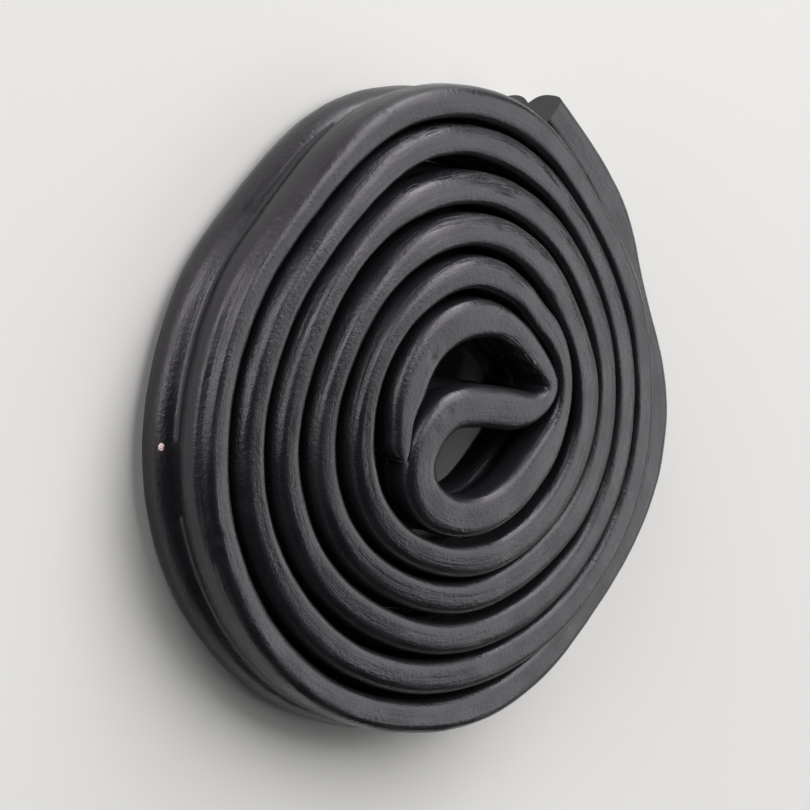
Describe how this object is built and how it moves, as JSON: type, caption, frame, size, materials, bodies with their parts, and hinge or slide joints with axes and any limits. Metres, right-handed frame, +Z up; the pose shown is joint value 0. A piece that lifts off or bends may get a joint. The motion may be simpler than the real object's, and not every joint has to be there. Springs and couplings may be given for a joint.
{
  "type": "licorice roll",
  "caption": "Flat roll of black licorice lace with two stacked lobes, folded core with two small holes, low dome in the middle and a cut outer end.",
  "frame": {"origin": "middle of the roll's outline, on the plane that the outermost turn rests on", "axes": "+Z up along the roll's axis, out of the domed face; +X towards the side where the outermost lace lies lowest; +Y towards the cut outer end"},
  "size_m": [0.059, 0.054, 0.0125],
  "materials": {
    "black_licorice": "black licorice with a soft satin sheen, fine lengthwise streaks and small pits"
  },
  "bodies": {
    "root": {"licorice_roll": "black_licorice"}
  },
  "joints": []
}
